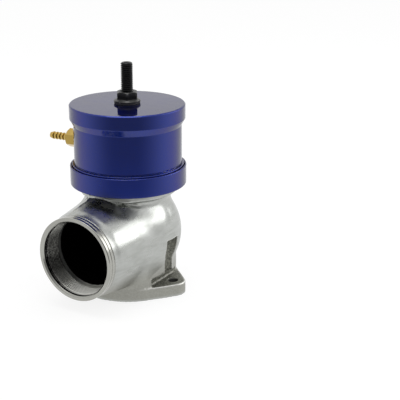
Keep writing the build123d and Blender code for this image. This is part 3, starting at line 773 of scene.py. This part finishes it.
class VALVE_OT_casting(bpy.types.Operator):
    """Polished elbow casting with its passage, tool slots and rounded edges"""
    bl_idname = "valve.casting"
    bl_label = "Elbow casting"

    def execute(self, context):
        settings = context.scene.valve_casting
        edge, web = settings.edge_round / MM, settings.web_round / MM

        def field(points):
            return casting_distance(points, edge, web)

        mesh = even_mesh(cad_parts["body_casting"], settings.voxel)
        # The turned collar is a piece of its own, so the casting ends inside it
        cut_square(mesh, COLLAR_BACK_Y - COLLAR_LAP)
        flat = np.empty(len(mesh.vertices) * 3, np.float32)
        mesh.vertices.foreach_get("co", flat)
        p = settle(field, flat.reshape(-1, 3).astype(float) / MM)
        slope = gradient(field, p)
        normal = slope / np.maximum(np.linalg.norm(slope, axis=1, keepdims=True), 1e-6)
        painted_shade, skin, painted_edge_highlight, outside = casting_finish(p, outside_distance(p, edge, web))
        p = buffed(p, normal, outside, settings.scar_height / MM)
        mesh.vertices.foreach_set("co", (p * MM).astype(np.float32).ravel())
        mesh.polygons.foreach_set("use_smooth", np.ones(len(mesh.polygons), bool))
        lower = 1 - smooth_step(p[:, 2], 12.0, 30.0)
        # Stored with the cast skin and the lower finish: painted shade in the passage and a painted highlight
        # on edges
        paint(mesh, cast_skin=skin, air_passage=painted_shade, satin=lower * outside, burnished=painted_edge_highlight)
        mesh.update()
        casting = add_object("elbow_casting", mesh)
        dress(casting, "housing", cast_aluminium(settings), "cast_aluminium", "body_casting")
        return {"FINISHED"}


class VALVE_OT_outlet(bpy.types.Operator):
    """Turned outlet collar with two fine lines outside, a ring groove and a thread inside"""
    bl_idname = "valve.outlet"
    bl_label = "Outlet collar"

    def execute(self, context):
        angles = even_angles(180)
        back = COLLAR_BACK_Y + 0.3
        outer = [(COLLAR_R - 0.01, back)]
        line_r = COLLAR_R - 0.35
        for line in (-56.8, -59.5):
            outer += [
                (COLLAR_R, line + 0.3), (line_r, line + 0.2), (line_r, line - 0.2), (COLLAR_R, line - 0.3)]
        groove_r = COLLAR_BORE_R + 0.7
        outer += [
            (COLLAR_R, MOUTH_Y + 0.4), (COLLAR_R - 0.4, MOUTH_Y), (25.5, MOUTH_Y),
            (COLLAR_BORE_R, MOUTH_Y + 0.9), (COLLAR_BORE_R, MOUTH_Y + 1.6), (groove_r, MOUTH_Y + 1.6),
            (groove_r, MOUTH_Y + 2.7), (COLLAR_BORE_R, MOUTH_Y + 2.7)]
        shell = rounded(outer, 0.12, 2, closed=False)
        # The thread needs twelve rows to each turn
        pitch, height = 1.4, 0.55
        thread_start, thread_end = MOUTH_Y + 3.4, SHOULDER_Y - 0.6
        rows = np.arange(thread_start, thread_end, pitch / 12)
        inner = np.stack([np.full(rows.shape, COLLAR_BORE_R), rows], axis=1)
        seat = [(COLLAR_BORE_R, SHOULDER_Y + 0.4), (26.2, SHOULDER_Y + 0.4), (26.2, back)]
        profile = np.concatenate([shell, inner, seat])
        grid = turned_grid(profile, angles)
        row = np.arange(len(profile))[:, None]
        threaded = (row >= len(shell)) & (row < len(shell) + len(inner))
        along = profile[:, 1:]
        fade = smooth_step(along, thread_start, thread_start + 1.0)
        fade = fade * smooth_step(-along, -thread_end, 1.0 - thread_end) * threaded
        wave = thread_wave(along / pitch - angles / (2 * pi), 0.125, 0.375)
        crest, root = wave * fade, (1 - wave) * fade
        grid[..., :2] *= (1 - height * crest / profile[:, :1])[..., None]
        collar = grid_object("outlet_collar", turn_to_outlet(grid), ring=True)
        # Painted shade: black in the ring groove, and over the wall behind it, deepest in the thread roots.
        # Below and a little above, the shade thins and painted light makes the wall pale
        depth = along - MOUTH_Y
        bored = profile[:, :1] < 26
        groove = bored & (depth > 1.3) & (depth < 3.0)
        wall = bored & (depth > 2.9)
        turn = np.degrees(angles)
        below, above = np.abs(turn - 290.0), np.abs(turn - 112.0)
        wear_and_painted_light = np.maximum(smooth_step(below, 56.0, 20.0), 0.5 * smooth_step(above, 44.0, 16.0))
        painted_wall_shade = 0.97 * (1 - np.maximum(smooth_step(below, 85.0, 30.0), 0.6 * smooth_step(above, 50.0, 20.0)))
        painted_shade = np.maximum(groove, wall * np.maximum(painted_wall_shade * (1 - 0.25 * crest), 0.8 * root))
        paint(collar.data, burnished=wall * wear_and_painted_light * (1 - 0.85 * root), oil_film=painted_shade)
        # The same aluminium, turned and left bright
        bright = turned_metal(
            "turned_cast_aluminium", "#B4B4AE", "#9C9C96", 1.0, 0.2, 0.0005, 0.12, axis="Y", with_painted_shade=True,
            with_painted_light=True)
        dress(collar, "housing", bright, "cast_aluminium", "body_casting")
        return {"FINISHED"}


class VALVE_OT_actuator(bpy.types.Operator):
    """Blue actuator: lipped cap and threaded base, turned all over"""
    bl_idname = "valve.actuator"
    bl_label = "Actuator cap and base"

    def execute(self, context):
        settings = context.scene.valve_actuator
        blue = anodised_blue(settings)
        edge = settings.edge_round / MM
        # Close columns and rows across the flat that the hose barb is seated on
        spot = np.degrees(BARB_ANGLE)
        angles = np.radians(np.concatenate([
            np.arange(spot + 14, spot + 346, 1.5), np.arange(spot - 14, spot + 14, 0.35)]))
        lip_low, taper_low = 116.7, 112.3
        stud_hole_r, boss_r, boss_low = 4.05, 8.0, 113.0
        corners = rounded([
            (stud_hole_r, CAP_TOP), (CAP_R - 0.7, CAP_TOP), (CAP_R, CAP_TOP - 0.7), (CAP_R, lip_low),
            (CAP_WALL_R, taper_low), (CAP_WALL_R, CAP_SKIRT_TOP + 0.9), (CAP_GROOVE_R, CAP_SKIRT_TOP + 0.9),
            (CAP_GROOVE_R, CAP_SKIRT_TOP), (CAP_SKIRT_R - 0.3, CAP_SKIRT_TOP),
            (CAP_SKIRT_R, CAP_SKIRT_TOP - 0.3), (CAP_SKIRT_R, CAP_SKIRT_LOW), (34.9, CAP_SKIRT_LOW),
            (34.9, 83.6), (CAP_ROOM_R, 86.98), (CAP_ROOM_R, CAP_ROOM_TOP - 3.0),
            (CAP_ROOM_R - 3.0, CAP_ROOM_TOP), (boss_r, CAP_ROOM_TOP), (boss_r, boss_low),
            (stud_hole_r, boss_low)], edge, 3)
        rows = np.arange(BARB_Z + 9.0, BARB_Z - 9.0, -0.4)
        side = np.stack([np.full(rows.shape, CAP_WALL_R), rows], axis=1)
        radius, height = corners.T
        wall_start = np.flatnonzero((radius > CAP_WALL_R - 0.1) & (np.abs(height - taper_low) < 1.0))[-1] + 1
        grid = turned_grid(np.concatenate([corners[:wall_start], side, corners[wall_start:]]), angles)
        # The skin that stands out past the seat's face, within 7 mm of the barb's axis, is pushed back to it
        out, across = barb_axes()
        reach = grid @ out
        near = np.hypot(grid @ across, grid[..., 2] - BARB_Z) < 7.0
        skin = np.hypot(grid[..., 0], grid[..., 1]) > 35.0
        past_face = np.where(skin & near & (reach > BARB_FACE), reach - BARB_FACE, 0.0)
        cap = grid_object("actuator_shell", grid - past_face[..., None] * out, ring=True)
        dress(cap, "housing", blue, "blue_anodised", "actuator_cap")

        bore_r, guide_r, spigot_r = 37.2, 7.5, 24.3
        profile = rounded([
            (BASE_R, BASE_LOW + 0.4), (BASE_R, BASE_TOP - 0.4), (BASE_R - 0.4, BASE_TOP),
            (bore_r + 0.6, BASE_TOP), (bore_r, BASE_TOP - 0.6), (bore_r, BASE_FLOOR), (guide_r, BASE_FLOOR),
            (guide_r, 74.2), (6.0, 74.2), (6.0, 64.0), (9.5, 64.0), (9.5, BASE_LOW),
            (spigot_r - 3.0, BASE_LOW), (spigot_r - 3.0, 70.0), (spigot_r, 70.0), (spigot_r, BASE_LOW),
            (BASE_R - 0.4, BASE_LOW)], edge, 3)
        columns = 240
        base = grid_object("actuator_ring", turned_grid(profile, even_angles(columns)), ring=True)
        # Painted shade over the ring's underside
        underside = (profile[:, 1] < BASE_LOW + 0.05) & (profile[:, 0] < BASE_R - 0.3)
        paint(base.data, oil_film=0.85 * np.repeat(underside, columns))
        dress(base, "housing", blue, "blue_anodised", "actuator_base")
        return {"FINISHED"}


class VALVE_OT_adjuster(bpy.types.Operator):
    """Threaded adjuster stud with its bonded washer and flanged lock nut"""
    bl_idname = "valve.adjuster"
    bl_label = "Adjuster stud and lock nut"

    def execute(self, context):
        settings = context.scene.valve_fastener
        black = oxide_black(settings)
        pitch, depth = settings.pitch / MM, settings.depth / MM
        angles = even_angles(72)
        height = np.arange(STUD_LOW, STUD_TOP, pitch / 10)[:, None]
        # The thread is cut away by the bevel at either end
        end_r, bevel = STUD_R - 0.8, 0.7
        from_end = np.minimum(height - STUD_LOW, STUD_TOP - height)
        wave = thread_wave(height / pitch - angles / (2 * pi), 0.15, 0.35)
        radius = np.minimum(STUD_R - depth * (1 - wave), end_r + np.minimum(from_end, bevel))
        shank = around_axis(radius, angles, height)
        socket = hexagon_radius(angles, 4.0)
        rows = [(end_r - 0.1, STUD_TOP), *((socket, STUD_TOP - down) for down in (0.0, 0.25, 4.0))]
        stud = grid_object("adjuster_stud_threaded", np.concatenate([shank, turned_rows(rows, angles)]))
        dress(stud, "stud", black, "black_steel", "adjuster_stud")

        angles = even_angles(144)
        flats = hexagon_radius(angles, 12.95, radians(-55.5))
        flange_r = 8.7
        # The flange's slope and the chamfer both meet the flats in curves
        slope = (flange_r - flats) * 0.45
        chamfer = (flats - 6.35) * tan(radians(30))
        low, high = NUT_LOW, NUT_TOP
        rows = [
            (4.2, low), (flange_r - 0.15, low), (flange_r, low + 0.15), (flange_r, low + 0.75),
            (flange_r - 0.15, low + 0.92), (flats + 0.25, low + 0.95 + slope), (flats, low + 1.2 + slope),
            (flats, low + 3.6), (flats, high - 0.15 - chamfer), (flats - 0.1, high - chamfer),
            (6.3, high - 0.02), (6.1, high), (4.6, high), (4.1, high - 0.5)]
        nut = grid_object("lock_nut_flanged", turned_rows(rows, angles), ring=True)
        # Worn bare steel and painted grey glints on the chamfer and the flange's slope, most at the corners
        wear_and_painted_light = np.array([0, 0, 0, 0.2, 0.9, 0.7, 0.1, 0, 0.5, 1.4, 1.1, 0.4, 0, 0])
        paint(nut.data, worn=wear_and_painted_light[:, None] * (0.35 + 0.65 * smooth_step(flats, 6.6, 7.3)))
        nut.modifiers.new("crisp_flats", "EDGE_SPLIT").split_angle = radians(28)
        dress(nut, "nut", black, "black_steel", "lock_nut")

        section = rounded([(4.1, CAP_TOP), (WASHER_R, CAP_TOP), (WASHER_R, NUT_LOW), (4.1, NUT_LOW)], 0.25, 3)
        washer = grid_object("bonded_washer", turned_grid(section, even_angles(96)), ring=True)
        dress(washer, "washer", moulded_rubber(), "rubber", "seal_washer")
        return {"FINISHED"}


class VALVE_OT_hose_barb(bpy.types.Operator):
    """Brass hose barb with a hexagon, screwed into the cap's side"""
    bl_idname = "valve.hose_barb"
    bl_label = "Hose barb"

    def execute(self, context):
        settings = context.scene.valve_fastener
        angles = even_angles(96)
        across_flats, bore_r, thread_r = 11.2, 1.4, 4.9
        flats = hexagon_radius(angles, across_flats, radians(30))
        chamfer = (flats - across_flats / 2) * tan(radians(30))
        hexagon_top, first_barb, barb_step, barbs = 10.3, 11.9, 2.6, 5
        rows = [
            (bore_r, -3.4), (thread_r - 0.2, -3.4), (thread_r, -3.2), (thread_r, 0.02), (flats - 0.2, 0.02),
            (flats, 0.2), (flats, 5.0), (flats, hexagon_top - 0.2 - chamfer),
            (flats - 0.2, hexagon_top - 0.05 - chamfer), (5.55, hexagon_top), (5.3, hexagon_top),
            (2.45, hexagon_top), (2.2, hexagon_top + 0.25), (2.2, first_barb)]
        for index in range(barbs):
            foot = first_barb + barb_step * index
            rows += [(2.6, foot), (2.65, foot + 0.1), (2.65, foot + 0.35), (2.55, foot + 0.6),
                     (2.02, foot + 2.45), (2.0, foot + 2.58)]
        tip = first_barb + barb_step * barbs
        rows += [(1.9, tip), (bore_r + 0.1, tip), (bore_r, tip - 0.1)]
        barb = grid_object("hose_barb_turned", turn_to_barb(turned_rows(rows, angles)), ring=True)
        barb.modifiers.new("crisp_edges", "EDGE_SPLIT").split_angle = radians(30)
        # Free-cutting brass, turned bright and a little tarnished in places
        brass = turned_metal("turned_brass", settings.brass, "#A88A44", 1.0, 0.16, 0.0003, 0.25, axis="X")
        dress(barb, "housing", brass, "brass", "hose_barb")
        return {"FINISHED"}


class VALVE_OT_spring(bpy.types.Operator):
    """Closing spring of round wire with ground ends, in two halves"""
    bl_idname = "valve.spring"
    bl_label = "Closing spring"

    def execute(self, context):
        wire_r, coil_r, turns = 1.35, 13.65, 6.0
        # Oil-tempered spring wire: dark grey, drawn smooth along its length
        steel = turned_metal("oil_tempered_wire", "#6A6A6C", "#4A4A4C", 1.0, 0.32, 0.0006, 0.1)
        around = even_angles(16)
        # The lower half goes with the valve and the upper half with the perch, and the two meet at one height
        meet, gap = 0.55, 0.0002
        reach = SPRING_TOP - SPRING_LOW
        halves = (
            ("closing_spring_lower", 0.0, meet - gap, "valve", "valve_lift", SPRING_LOW, 10.0),
            ("closing_spring_upper", meet, 1.0, "perch", "seat_slide", SPRING_TOP, 8.0),
        )
        for name, first, last, body, joint, anchor, travel in halves:
            t = np.linspace(first, last, 199)[:, None]
            height = np.clip(SPRING_LOW + reach * t + wire_r * np.sin(around), SPRING_LOW, SPRING_TOP)
            grid = around_axis(coil_r + wire_r * np.cos(around), 2 * pi * turns * t, height)
            half = dress(grid_object(name, grid), body, steel, "spring_steel", "main_spring")
            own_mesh(half)
        return {"FINISHED"}


class VALVE_OT_diaphragm(bpy.types.Operator):
    """Moulded rubber diaphragm with one rolled fold and a clamped bead"""
    bl_idname = "valve.diaphragm"
    bl_label = "Diaphragm"

    def execute(self, context):
        # The fold is two half circles about one middle, as far apart as the rubber is thick
        middle, fold_r, thick = np.array([30.9, 79.2]), 2.4, 1.5
        steps = np.linspace(0, pi, 13)
        arc = np.stack([np.cos(steps), np.sin(steps)], axis=1)
        bead_r, hole_r = 36.9, 3.1
        profile = np.concatenate([
            [(bead_r, BASE_FLOOR), (bead_r, BASE_FLOOR + 2.0), (34.8, BASE_FLOOR + 2.0)],
            middle + (fold_r + thick) * arc,
            [(26.6, 80.7), (hole_r, 80.7), (hole_r, 79.2), (28.4, 79.2)],
            middle + fold_r * arc[::-1],
            [(33.3, BASE_FLOOR)]])
        diaphragm = grid_object("rolled_diaphragm", turned_grid(profile, even_angles(144)), ring=True)
        diaphragm.data.materials.append(moulded_rubber())
        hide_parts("diaphragm")
        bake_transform(diaphragm)
        return {"FINISHED"}


class VALVE_OT_inside(bpy.types.Operator):
    """Finishes of the poppet, stem, plates, bush, seals and screws inside the valve"""
    bl_idname = "valve.inside"
    bl_label = "Inner parts"

    def execute(self, context):
        # Hard black anodising: matt, with faint turning rings
        black = turned_metal("hard_black_anodised", "#17171A", "#222226", 0.6, 0.42, 0.0005, 0.1)
        # Zinc-plated steel: pale, slightly blue
        zinc = turned_metal("zinc_plated_steel", "#B9BCC0", "#9A9DA2", 1.0, 0.28, 0.0006, 0.12)
        # Stainless steel, ground to fine close lines
        ground = turned_metal("ground_stainless_steel", "#C4C4C2", "#AFAFAD", 1.0, 0.18, 0.0003, 0.08)
        # Plain aluminium as it leaves the lathe, with clear rings
        plain = turned_metal("turned_plain_aluminium", "#CFCFCC", "#BABAB7", 1.0, 0.3, 0.0005, 0.2)
        # Sintered bronze with an oily, open grain
        bronze = turned_metal("sintered_bronze", "#A07840", "#7C5A2E", 1.0, 0.45, 0.0008, 0.3)
        finishes = (
            (black, ("valve_head",)),
            (ground, ("valve_stem",)),
            (zinc, ("head_washer", "head_nut", "plate_washer", "stem_nut", "base_screws", "clamp_ring",
                    "spring_seat")),
            (plain, ("lower_plate", "upper_plate")),
            (bronze, ("guide_bushing",)),
            (moulded_rubber(), ("stem_seal", "valve_seal")),
            (pressed_fibre(), ("neck_gasket",)),
        )
        for material, names in finishes:
            for name in names:
                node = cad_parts[name]
                node.data.materials.clear()
                node.data.materials.append(material)
        return {"FINISHED"}


def place_camera(settings):
    """Stands the camera at its place, looking along its aim, and rolls it about that line."""
    forward = Vector(settings.aim).normalized()
    right = forward.cross(Vector((0, 0, 1))).normalized()
    up = right.cross(forward)
    right = right * cos(settings.roll) + up * sin(settings.roll)
    axes = Matrix((right, right.cross(forward), -forward)).transposed().to_4x4()
    lens = bpy.data.cameras.new("camera")
    lens.lens = settings.lens
    lens.sensor_width = 36.0
    lens.clip_start = 0.01
    camera = add_object("camera", lens)
    camera.matrix_world = Matrix.Translation(Vector(settings.place)) @ axes
    bpy.context.scene.camera = camera


def studio_world():
    """White to the eye and in reflections, and a little dimmer as light, because the lamps add theirs."""
    world = bpy.data.worlds.new("studio")
    world.use_nodes = True
    tree = world.node_tree
    level = add_node(tree, "Mix", white_rays(tree), 0.7, 1.0)
    fill(tree, tree.nodes["Background"], Color=rgba("#FFFFFF"), Strength=level)
    return world


def pale_floor():
    """Matt floor paint. The eye and reflections see three parts of plain white to one of the shaded paint,
    so that the object's shadow stays."""
    material, tree, shader = new_material("pale_floor", Base_Color=(0.92, 0.92, 0.92, 1.0), Roughness=0.9)
    white = add_node(tree, "Emission", Color=rgba("#FFFFFF"), Strength=1.08)
    share = add_node(tree, "Math", white_rays(tree), 0.75, settings={"operation": "MULTIPLY"})
    seen = add_node(tree, "MixShader", share, shader.outputs["BSDF"], white)
    fill(tree, tree.nodes["Material Output"], Surface=seen)
    return material


def grey_cloth():
    """Black cloth that lets the white room through where its dimness is low."""
    material, tree, _ = new_material("grey_screen")
    dimness = add_node(tree, "Attribute", settings={"attribute_name": "dimness"}, output="Fac")
    dark = add_node(tree, "Emission", Color=rgba("#000000"))
    seen = add_node(tree, "MixShader", dimness, add_node(tree, "BsdfTransparent"), dark)
    fill(tree, tree.nodes["Material Output"], Surface=seen)
    return material


class VALVE_OT_stage(bpy.types.Operator):
    """Pale floor, soft studio light and the camera"""
    bl_idname = "valve.stage"
    bl_label = "Stage"

    def execute(self, context):
        settings = context.scene.valve_stage
        context.scene.view_settings.view_transform = "Standard"
        context.scene.world = studio_world()
        place_camera(settings)

        half = 3000.0
        corners = np.array([(-half, -half, 0), (half, -half, 0), (half, half, 0), (-half, half, 0)])
        floor = mesh_object("floor", corners, [[0, 1, 2, 3]])
        floor.data.materials.append(pale_floor())

        # The dim half of the room, a round screen that only reflections show: part of a cylinder round the Z
        # axis, darkest at its middle and clearing towards its ends and its top
        turn = np.linspace(-175.0, 55.0, 93)[None, :]
        height = np.linspace(2.0, 340.0, 27)[:, None]
        points = around_axis(250.0, np.radians(turn), height)
        rows, columns = points.shape[:2]
        corner = (np.arange(rows - 1)[:, None] * columns + np.arange(columns - 1)).ravel()
        quads = np.stack([corner, corner + 1, corner + columns + 1, corner + columns], axis=1)
        screen = mesh_object("grey_screen", points.reshape(-1, 3), quads.tolist())
        ends = 1 - smooth_step(np.abs(turn + 60.0), 18.0, 95.0)
        paint(screen.data, dimness=0.7 * ends * (1 - smooth_step(height, 120.0, 330.0)))
        screen.data.materials.append(grey_cloth())
        screen.visible_camera = False
        screen.visible_diffuse = False
        screen.visible_shadow = False

        middle = Vector((0, 0, 0.06))
        lamps = (
            ("key_lamp", (0.63, 0.56, 0.40), (0.9, 0.42), settings.key),
            ("top_lamp", (0.0, -0.1, 1.1), (0.8, 0.8), settings.top),
        )
        for name, place, size, power in lamps:
            light = bpy.data.lights.new(name, "AREA")
            light.shape = "ELLIPSE"
            light.size, light.size_y = size
            light.energy = power
            lamp = add_object(name, light)
            lamp.location = place
            lamp.rotation_euler = (middle - Vector(place)).to_track_quat("-Z", "Y").to_euler()
        return {"FINISHED"}


SETTINGS = {
    "valve_casting": ValveCastingSettings,
    "valve_actuator": ValveActuatorSettings,
    "valve_fastener": ValveFastenerSettings,
    "valve_stage": ValveStageSettings,
}
OPERATORS = (
    VALVE_OT_casting,
    VALVE_OT_outlet,
    VALVE_OT_actuator,
    VALVE_OT_adjuster,
    VALVE_OT_hose_barb,
    VALVE_OT_spring,
    VALVE_OT_diaphragm,
    VALVE_OT_inside,
    VALVE_OT_stage,
)


class VALVE_PT_panel(bpy.types.Panel):
    """Sidebar panel that lists the valve's pieces and their settings"""
    bl_idname = "VALVE_PT_panel"
    bl_label = "Blow-off valve"
    bl_space_type = "VIEW_3D"
    bl_region_type = "UI"
    bl_category = "Valve"

    def draw(self, context):
        layout = self.layout
        for operator in OPERATORS:
            layout.operator(operator.bl_idname)
        for name, group in SETTINGS.items():
            box = layout.box()
            settings = getattr(context.scene, name)
            for key in group.__annotations__:
                box.prop(settings, key)


CLASSES = (*SETTINGS.values(), *OPERATORS, VALVE_PT_panel)


def register():
    for cls in CLASSES:
        bpy.utils.register_class(cls)
    for name, group in SETTINGS.items():
        setattr(bpy.types.Scene, name, bpy.props.PointerProperty(type=group))


def unregister():
    for name in SETTINGS:
        delattr(bpy.types.Scene, name)
    for cls in reversed(CLASSES):
        bpy.utils.unregister_class(cls)


def main():
    register()
    for operator in OPERATORS:
        group, name = operator.bl_idname.split(".")
        getattr(getattr(bpy.ops, group), name)()


if __name__ == "__main__":
    main()
